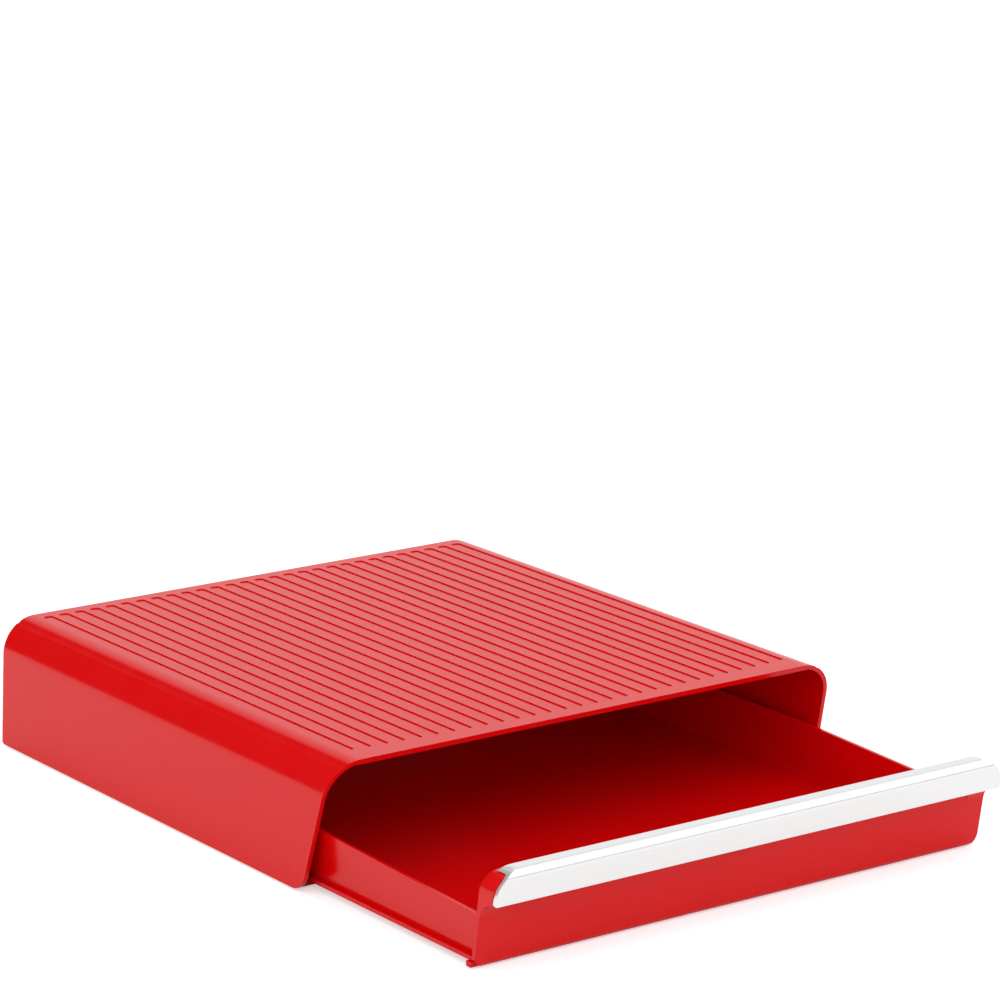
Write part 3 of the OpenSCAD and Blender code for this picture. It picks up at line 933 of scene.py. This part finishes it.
    def cut_grooves(self, body: Piece) -> None:
        """Cuts the channels into the deck, the outer ones starting further from the front.

        Args:
            body: the shell.
        """
        first = self.groove_cutter()
        span = (self.groove_count - 1) / 2
        front_half = (DRAWING.front_at(DRAWING.height) + DRAWING.rear) / 2
        cutters = []
        for index in range(self.groove_count):
            step = index - span
            cutter = copied(first, (step * self.groove_pitch, 0, 0))
            moved(cutter, lambda v: v.co.y < front_half,
                  (0, self.groove_bow * (step / span) ** 2, 0))
            cutters.append(cutter)
        bpy.data.objects.remove(first)
        combine(body, joined(cutters, "channel_cutters"))

    def add_ribs(self, body: Piece) -> None:
        """Welds the stiffening ribs under the deck.

        Args:
            body: the shell.
        """
        d = DRAWING
        half = d.inner_half(d.height)
        pitch = 2 * half / (self.rib_count + 1)
        front = d.front_at(d.height) + self.groove_margin_front + self.rib_height
        bottom = d.height - self.deck_thickness - self.rib_height
        ribs = []
        for index in range(1, self.rib_count + 1):
            left = -half + index * pitch - self.rib_thickness / 2
            rib = block("rib", (left, front, bottom),
                        (left + self.rib_thickness, d.rear_at(bottom) - d.wall / 2,
                         bottom + self.rib_height + self.weld))
            round_over(rib, edges(1, under=bottom), self.rib_edge, segments=3)
            round_over(rib, lambda e: runs(e, 2) and middle(e).y < front + HAIR,
                       self.rib_edge, segments=3)
            ribs.append(rib)
        combine(body, joined(ribs, "ribs"), Join.WELD)

    def add_bosses(self, body: Piece) -> None:
        """Welds the screw bosses inside the side walls, drills them and cuts the slot.

        Args:
            body: the shell.
        """
        d = DRAWING
        top = self.rail_top + self.boss_height
        inner = d.inner_half(d.foot_height) - self.rail_gap - self.rail_web
        screw_x = inner + self.rail_web / 2 - self.screw_offset
        outer_row = d.depth / 2 - self.screw_inset
        bosses, webs, drills = [], [], []
        for side in (-1, 1):
            for y in (-outer_row, 0.0, outer_row):
                x = side * screw_x
                outside = side * (d.width / 2 - d.wall)
                boss = rod("boss", (x, y, (self.rail_top + top) / 2), self.boss_radius,
                           self.boss_height)
                round_over(boss, lambda e: abs(middle(e).z - top) < HAIR, self.boss_edge,
                           segments=2)
                bosses.append(boss)
                webs.append(block("web", (min(x, outside), y - self.web_half, self.rail_top),
                                  (max(x, outside), y + self.web_half, top - self.web_below)))
                drills.append(rod("drill", (x, y, top / 2), self.pilot_radius,
                                  top - 2 * self.pilot_end, sides=24))
        combine(body, joined(webs, "webs"), Join.WELD)
        combine(body, joined(bosses, "bosses"), Join.WELD)
        combine(body, joined(drills, "drills"))
        low, high = self.slot_heights
        combine(body, block("runner_slot", (-self.slot_half, d.rear - d.wall - OVER, low),
                            (self.slot_half, d.rear + OVER, high)))

    def build(self) -> None:
        """Builds the whole moulding."""
        body = self.shell()
        self.round_rim(body)
        self.cut_grooves(body)
        self.add_ribs(body)
        self.add_bosses(body)
        complete(body, Place.CASING, "red_moulding", "casing")


# ---- Rails, tie bar, runner, feet, screws and hooks --------------------------------------


@dataclass
class SoftenedSet:
    """Pieces that keep the frame's own shape, with softened edges and a finish."""

    place: Place
    slot: str
    edge: float
    nodes: tuple[str, ...]

    def build(self) -> None:
        """Copies each node, rounds its hard edges and dresses it."""
        to_drawing = (Matrix.Translation((0, -self.place.shift(), 0))
                      @ Matrix.Scale(1 / MM, MATRIX_SIZE))
        for node in self.nodes:
            piece = copied(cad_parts[node], name=f"soft_{node}")
            for key in [key for key in piece.keys() if key.startswith("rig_")]:
                del piece[key]
            piece.parent = None
            piece.matrix_world = Matrix.Identity(MATRIX_SIZE)
            piece.data.transform(to_drawing)
            tidy_mesh(piece, flat=True)
            soften(piece, self.edge)
            complete(piece, self.place, self.slot, node)


# ---- Tray --------------------------------------------------------------------------------


@dataclass
class Tray:
    """The drawer's moulding: floor, leaning walls, kerb, and the lips that run in the rails."""

    rear: float = 148.0
    wall: float = 2.0
    floor: float = 2.2
    height: float = 34.0
    height_front: float = 28.5
    fall_length: float = 150.0
    lean: float = 6.3
    half_at_bottom: float = 157.23
    lip_half: float = 160.33
    lip_draw: float = 4.0
    kerb: float = 12.0
    edge: float = 0.45
    inner_foot: float = 2.5
    inner_corner: float = 3.0
    cut_above: float = 4.0

    def half_at(self, z: float) -> float:
        """Half the outer width at a height."""
        rise = z - DRAWING.tray_bottom
        return self.half_at_bottom + rise * math.tan(math.radians(self.lean))

    def build(self) -> None:
        """Builds the tray."""
        d = DRAWING
        bottom, top = d.tray_bottom, self.height
        front = d.panel_at(bottom) + d.behind_panel
        body = block("pod_tray", (-self.half_at(bottom), front, bottom),
                     (self.half_at(bottom), self.rear, top))
        spread(body, top, self.half_at(top) / self.half_at(bottom))
        lean_forward(body, bottom, top, d.panel_slope)
        lip_top = bottom + self.floor
        shave(body, (0, 0, lip_top), (0, 0, 1), drop=False)
        for side in (-1, 1):
            drawn_out(body, lambda f: looks(f, 0, side) and f.calc_center_median().z < lip_top,
                      (side * self.lip_draw, 0, 0))
        for side in (-1, 1):
            resized(body, lambda v: v.co.x * side > self.lip_half + NEAR, (0, 1, 1),
                    (side * self.lip_half, 0, 0))
        self.hollow(body, lip_top)
        fall = math.atan2(top - self.height_front, self.fall_length)
        start = d.panel_at(self.height_front) + d.behind_panel
        shave(body, (0, start, self.height_front), (0, -math.sin(fall), math.cos(fall)))
        soften(body, self.edge, segments=3)
        complete(body, Place.DRAWER, "red_moulding", "tray")

    def hollow(self, body: Piece, lip_top: float) -> None:
        """Cuts the inside, whose foot is rounded, and opens the front above the kerb.

        Args:
            body: the tray, still solid.
            lip_top: the height of its floor.
        """
        d = DRAWING
        thickness = self.wall / math.cos(math.radians(self.lean))
        above = self.height + self.cut_above
        low, high = self.half_at(lip_top) - thickness, self.half_at(above) - thickness
        kerb_top = d.tray_bottom + self.kerb
        inside = block("inside", (-low, d.panel_at(lip_top) + d.behind_panel + self.wall,
                                  lip_top), (low, self.rear - self.wall, above))
        spread(inside, above, high / low)
        lean_forward(inside, lip_top, above, d.panel_slope)
        round_over(inside, lambda e: middle(e).z < lip_top + HAIR, self.inner_foot, segments=5)
        round_over(inside, lambda e: runs(e, 2, 0.9) and middle(e).y > 0, self.inner_corner,
                   segments=5)
        combine(body, inside)
        mouth_low = self.half_at(kerb_top) - thickness
        mouth = block("mouth", (-mouth_low, d.front - BEYOND, kerb_top), (mouth_low, 0, above))
        spread(mouth, above, high / mouth_low)
        combine(body, mouth)


# ---- Drawer front ------------------------------------------------------------------------


@dataclass
class DrawerFront:
    """The slanted front, with the hollow pull along its top and a heel under the tray."""

    half: float = 161.98
    bottom: float = 0.8
    top: float = 52.0
    corner: float = 10.0
    toe: float = 7.0
    foot_radius: float = 5.5
    edge: float = 0.4
    edge_angle: float = 50.0
    pull_depth: float = 8.8
    pull_bottom: float = 39.0
    pull_wall: float = 2.2
    pull_edge: float = 2.3
    pull_end_bottom: float = 36.8
    pull_end_start: float = 149.88
    heel_rear: float = -154.65
    end_edge: float = 2.2
    end_angle: float = 60.0
    end_spread: float = 2.8
    foot_half: float = 146.43
    foot_rear: float = -140.25
    foot_corner: float = 2.0
    weld: float = 0.5

    def build(self) -> None:
        """Builds the front."""
        plate = self.profile()
        heel = self.heel(plate)
        outline = block("outline", (-self.half, self.heel_rear - BEYOND, self.bottom),
                        (self.half, self.heel_rear + OVER, self.top))
        round_over(outline, edges(1, over=self.top), self.corner, segments=12)
        round_over(outline, edges(1, under=self.bottom), self.toe, segments=10)
        combine(plate, outline, Join.SHARE)
        self.round_ends(plate)
        self.add_pull_ends(plate)
        combine(plate, heel, Join.WELD)
        self.hollow_pull(plate)
        soften(plate, self.edge, segments=3, angle=self.edge_angle)
        complete(plate, Place.DRAWER, "red_moulding", "front_panel")

    def profile(self) -> Piece:
        """The section of the front, drawn out along its whole width.

        Returns:
            The plate with its pull and heel, still with square ends.
        """
        d = DRAWING
        base, bottom, level = d.panel_at(self.bottom), self.bottom, d.tray_bottom
        wide = self.half + SPARE
        plate = block("pod_drawer_front", (-wide, base, bottom), (wide, self.heel_rear, level))
        shave(plate, (0, base + d.panel_depth, 0), (0, 1, 0), drop=False)
        for high in (self.pull_bottom, self.top):
            drawn_out(plate, lambda f: looks(f, 2, 1)
                      and f.calc_center_median().y < base + d.panel_depth
                      and all(v.co.z > level - HAIR for v in f.verts), (0, 0, high - level))
            level = high
        drawn_out(plate, lambda f: looks(f, 1, -1)
                  and f.calc_center_median().z > self.pull_bottom, (0, -self.pull_depth, 0))
        for corner in plate.data.vertices:
            if corner.co.y < self.heel_rear - HAIR:
                corner.co.y -= d.panel_slope * (corner.co.z - bottom)
        round_over(plate, lambda e: runs(e, 0) and middle(e).z < bottom + HAIR
                   and middle(e).y < base + HAIR, self.foot_radius, segments=10,
                   open_angle=90.0 + d.panel_slant)
        round_over(plate, lambda e: runs(e, 0) and middle(e).z > self.top - HAIR
                   and self.behind(middle(e)) < HAIR - self.pull_depth, self.pull_edge,
                   segments=6, open_angle=90.0 - d.panel_slant)
        return plate

    def heel(self, plate: Piece) -> Piece:
        """The lower edge behind the plate at its whole width, and the foot under the tray.

        Args:
            plate: the section of the front, drawn out along its whole width.

        Returns:
            The heel, to weld on when the plate has its outline.
        """
        level = DRAWING.tray_bottom
        start = DRAWING.panel_at(self.bottom) + DRAWING.panel_depth
        heel = copied(plate, name="heel")
        combine(heel, block("heel_room", (-self.half, start, self.bottom - OVER),
                            (self.half, self.heel_rear + OVER, level)), Join.SHARE)
        foot = block("foot", (-self.foot_half, self.heel_rear - self.weld, self.bottom),
                     (self.foot_half, self.foot_rear, level))
        round_over(foot, lambda e: runs(e, 2) and middle(e).y > self.heel_rear,
                   self.foot_corner, segments=4)
        combine(heel, foot, Join.WELD)
        return heel

    def round_ends(self, plate: Piece) -> None:
        """Rounds the front's edges at both ends, wider across than they are deep.

        Args:
            plate: the plate with its outline.
        """
        for stretch in (1 / self.end_spread, self.end_spread):
            if stretch > 1:
                round_over(plate, self.is_end_edge, self.end_edge, segments=6)
            resized(plate, lambda v: True, (stretch, 1, 1))

    def is_end_edge(self, edge: Edge) -> bool:
        """Picks the edges that bound the narrowed front's plane at its two ends.

        Args:
            edge: any edge of the plate.

        Returns:
            Whether it is one of them.
        """
        return (all(abs(self.behind(v.co)) < 2 * HAIR for v in edge.verts)
                and edge.calc_face_angle(0) > math.radians(self.end_angle)
                and middle(edge).z < self.pull_bottom - HAIR
                and abs(middle(edge).x) > (self.half - self.toe) / self.end_spread)

    def add_pull_ends(self, plate: Piece) -> None:
        """Welds on the lower ends of the pull, which sweep into the front's plane.

        Args:
            plate: the plate with its outline.
        """
        sweep = self.pull_depth
        low = self.pull_end_bottom - sweep
        for side in (-1, 1):
            near, far = sorted((side * self.pull_end_start, side * self.half))
            end = block("pull_end", (near, -sweep, low),
                        (far, self.weld, self.pull_bottom + self.weld))
            combine(end, rod("sweep", ((near + far) / 2, -sweep, low), sweep,
                             far - near + 2 * OVER, sides=96, turned=(0, math.pi / 2, 0)))
            for corner in end.data.vertices:
                corner.co.y += DRAWING.panel_at(corner.co.z)
            combine(plate, end, Join.WELD)

    def hollow_pull(self, plate: Piece) -> None:
        """Cuts the pull's hollow, which the strip closes.

        Args:
            plate: the plate with its pull.
        """
        d = DRAWING
        low, high = self.pull_bottom + self.pull_wall, self.top - self.pull_wall
        half = self.half - self.pull_wall
        hollow = block("hollow", (-half, d.panel_at(low) - self.pull_depth - OVER, low),
                       (half, d.panel_at(low), high))
        lean_forward(hollow, low, high, d.panel_slope, front_only=False)
        round_over(hollow, edges(1, over=high), self.corner - self.pull_wall, segments=8)
        combine(plate, hollow)

    def behind(self, point: Vector) -> float:
        """How far a point lies behind the drawer front's plane, along Y."""
        return point.y - DRAWING.panel_at(point.z)


# ---- Handle strip ------------------------------------------------------------------------


@dataclass
class HandleStrip:
    """The silver strip that wraps over the pull: a lip below, a face and a top."""

    half: float = 161.68
    grip_half: float = 149.68
    bottom: float = 36.8
    top: float = 54.2
    wall: float = 2.0
    front: float = -11.0
    corner: float = 15.0
    low_corner: float = 1.5
    upper_edge: float = 4.5
    grip: float = 5.0
    edge: float = 0.35
    edge_angle: float = 35.0
    cut_rear: float = 20.0
    cut_below: float = 5.0
    smooth: float = 28.0

    def bar(self, name: str, depths: Pair, heights: Pair, sides: Pair,
            edge: float = 0.0) -> Piece:
        """A bar that leans as the drawer front does, its front upper edge rounded.

        Args:
            name: the name of the object.
            depths: its front and rear, measured from the drawer front's plane.
            heights: its bottom and top.
            sides: its left and right ends.
            edge: the radius of its front upper edge, or nothing.

        Returns:
            The bar.
        """
        d = DRAWING
        low, high = heights
        base = d.panel_at(low)
        bar = block(name, (sides[0], base + depths[0], low), (sides[1], base + depths[1], high))
        lean_forward(bar, low, high, d.panel_slope, front_only=False)
        if edge > 0:
            round_over(bar, lambda e: runs(e, 0) and middle(e).z > high - HAIR
                       and middle(e).y < d.panel_at(high) + depths[0] + NEAR, edge,
                       segments=10, open_angle=90.0 - d.panel_slant)
        return bar

    def build(self) -> None:
        """Builds the strip."""
        d = DRAWING
        low, high = self.bottom, self.top
        wide = self.half + self.cut_rear
        inner = self.front + self.wall
        strip = self.bar("pod_handle_strip", (self.front, 0.0), (low, high),
                         (-self.half - SPARE, self.half + SPARE), self.upper_edge)
        ends = block("ends", (-self.half, d.front - BEYOND, low),
                     (self.half, d.front + 2 * SPARE, high))
        round_over(ends, edges(1, over=high), self.corner, segments=16)
        round_over(ends, edges(1, under=low), self.low_corner, segments=4)
        combine(strip, ends, Join.SHARE)
        combine(strip, self.bar("inside", (inner, self.cut_rear),
                                (low + self.wall, high - self.wall), (-wide, wide),
                                self.upper_edge - self.wall))
        under = (low - self.cut_below, low + self.wall + OVER)
        for front, sides in ((inner + self.grip, (-wide, wide)),
                             (inner, (-wide, -self.grip_half)),
                             (inner, (self.grip_half, wide))):
            combine(strip, self.bar("below", (front, self.cut_rear), under, sides))
        soften(strip, self.edge, segments=3, angle=self.edge_angle)
        complete(strip, Place.DRAWER, "strip_metal", "handle_strip", self.smooth)


# ---- Studio ------------------------------------------------------------------------------


@dataclass
class Studio:
    """A pale floor, an even soft light with a bright backdrop behind, and the camera."""

    camera_at: Point = (-1.2646, -1.7842, 0.7123)
    camera_turn: Point = (75.994, 0.0, -35.548)
    lens: float = 151.1
    sensor: float = 36.0
    clip_end: float = 200.0
    floor_size: float = 60.0
    floor_tint: float = 0.8
    floor_lift: float = 0.5
    floor_mirrored: float = 0.3
    sky: float = 1.02
    backdrop: float = 0.85
    backdrop_way: Point = (0.5565, 0.7948, 0.2419)
    backdrop_ramp: Pair = (0.8, 0.97)
    dark: float = 0.0
    softbox: float = 1.1
    softbox_way: Point = (0.5025, -0.5025, 0.7036)
    softbox_ramp: Pair = (0.45, 0.65)
    horizon_ramp: Pair = (0.08, 0.2)
    lamp_powers: Pair = (8.0, 7.0)
    lamp_size: Pair = (2.4, 2.0)
    lamp_at: Point = (1.9, -1.5, 1.3)
    lamp_aim: Point = (0.0, 0.0, 0.05)

    def build(self) -> None:
        """Sets the floor, the sky, the lamps and the camera."""
        scene = bpy.context.scene
        scene.view_settings.view_transform = "Standard"
        scene.camera = self.camera()
        self.floor()
        scene.world = self.world()
        for side, power in zip((-1, 1), self.lamp_powers):
            self.lamp(side, power)

    @staticmethod
    def stood(name: str, data: bpy.types.ID, place: Point) -> Piece:
        """Puts a camera or a lamp at its place.

        Args:
            name: its name.
            data: its settings.
            place: where it stands, in metres.

        Returns:
            The camera or lamp.
        """
        thing = bpy.data.objects.new(name, data)
        thing.location = place
        bpy.context.scene.collection.objects.link(thing)
        return thing

    def camera(self) -> Piece:
        """Adds the camera.

        Returns:
            The camera.
        """
        data = bpy.data.cameras.new("camera")
        data.lens, data.sensor_width, data.clip_end = self.lens, self.sensor, self.clip_end
        camera = self.stood("camera", data, self.camera_at)
        camera.rotation_euler = [math.radians(angle) for angle in self.camera_turn]
        return camera

    def lamp(self, side: int, power: float) -> None:
        """Adds a broad soft lamp above the front.

        Args:
            side: -1 for the left, 1 for the right.
            power: its power in watts.
        """
        data = bpy.data.lights.new("soft lamp", "AREA")
        data.shape = "RECTANGLE"
        data.size, data.size_y = self.lamp_size
        data.energy = power
        x, y, z = self.lamp_at
        lamp = self.stood("soft lamp", data, (side * x, y, z))
        direction = Vector(self.lamp_aim) - Vector(lamp.location)
        lamp.rotation_euler = direction.to_track_quat("-Z", "Y").to_euler()

    @staticmethod
    def seen(bench: NodeBench, path: bpy.types.NodeOutputs) -> Socket:
        """Whether a ray comes from the camera, or through glass."""
        return bench.reckon("MAXIMUM", path["Is Camera Ray"], path["Is Transmission Ray"])

    def floor(self) -> None:
        """Adds the floor, which is white where it is seen and keeps the shadow."""
        put_down()
        bpy.ops.mesh.primitive_plane_add(size=self.floor_size, location=(0, 0, 0))
        floor = settled("studio_floor")
        material = bpy.data.materials.new("studio floor")
        material.use_nodes = True
        bench = NodeBench(material.node_tree)
        nodes = bench.tree.nodes
        nodes.remove(nodes["Principled BSDF"])
        path = bench.add("LightPath").outputs
        mirrored = bench.reckon("MULTIPLY", path["Is Glossy Ray"], self.floor_mirrored)
        share = bench.reckon("MAXIMUM", self.seen(bench, path), mirrored)
        lift = bench.reckon("MULTIPLY", share, self.floor_lift)
        glow = bench.add("Emission", {0: (1.0, 1.0, 1.0, 1.0), 1: lift})
        base = bench.add("BsdfDiffuse", {0: (self.floor_tint,) * 3 + (1.0,)})
        both = bench.add("AddShader", {0: base.outputs[0], 1: glow.outputs[0]})
        bench.feed(nodes["Material Output"].inputs["Surface"], both.outputs[0])
        floor.data.materials.append(material)

    def world(self) -> bpy.types.World:
        """Makes an even sky. Where it is mirrored, it is dark beside a backdrop and a softbox.

        Returns:
            The sky.
        """
        world = bpy.data.worlds.new("studio sky")
        world.use_nodes = True
        bench = NodeBench(world.node_tree)
        path = bench.add("LightPath").outputs
        place = bench.place("Generated")
        height = bench.add("SeparateXYZ", {0: place}).outputs["Z"]
        behind = bench.ramp(bench.toward(place, self.backdrop_way), *self.backdrop_ramp,
                            self.dark, self.backdrop, kind="SMOOTHSTEP")
        spot = bench.ramp(bench.toward(place, self.softbox_way), *self.softbox_ramp,
                          kind="SMOOTHSTEP")
        above = bench.ramp(height, *self.horizon_ramp, kind="SMOOTHSTEP")
        inside = bench.reckon("MULTIPLY", spot, above)
        mirrored = bench.ramp(inside, 0.0, 1.0, behind, self.softbox)
        even = bench.ramp(path["Is Glossy Ray"], 0.0, 1.0, self.sky, mirrored)
        level = bench.ramp(self.seen(bench, path), 0.0, 1.0, even, 1.0)
        sky = bench.tree.nodes["Background"]
        sky.inputs["Color"].default_value = (1, 1, 1, 1)
        bench.feed(sky.inputs["Strength"], level)
        return world


# ---- The whole ---------------------------------------------------------------------------


def main() -> None:
    """Builds the studio and every sub-assembly in order."""
    logging.basicConfig(level=logging.INFO, format="%(message)s")
    rail_edge, small_edge, foot_edge = 0.25, 0.12, 0.2
    for assembly in (
            Studio(),
            Casing(),
            SoftenedSet(Place.CASING, "rail_plastic", rail_edge, ("left_rail", "right_rail")),
            SoftenedSet(Place.CASING, "slide_plastic", rail_edge,
                        ("front_tie_bar", "centre_runner")),
            Tray(),
            DrawerFront(),
            HandleStrip(),
            SoftenedSet(Place.CASING, "screw_steel", small_edge,
                        ("left_rail_screws", "right_rail_screws")),
            SoftenedSet(Place.CASING, "foot_rubber", foot_edge,
                        ("front_left_foot", "front_right_foot",
                         "rear_left_foot", "rear_right_foot")),
            SoftenedSet(Place.DRAWER, "screw_steel", small_edge,
                        ("front_panel_screws", "left_stop_hook_screws",
                         "right_stop_hook_screws")),
            SoftenedSet(Place.DRAWER, "slide_plastic", small_edge,
                        ("left_stop_hook", "right_stop_hook"))):
        assembly.build()


if __name__ == "__main__":
    main()
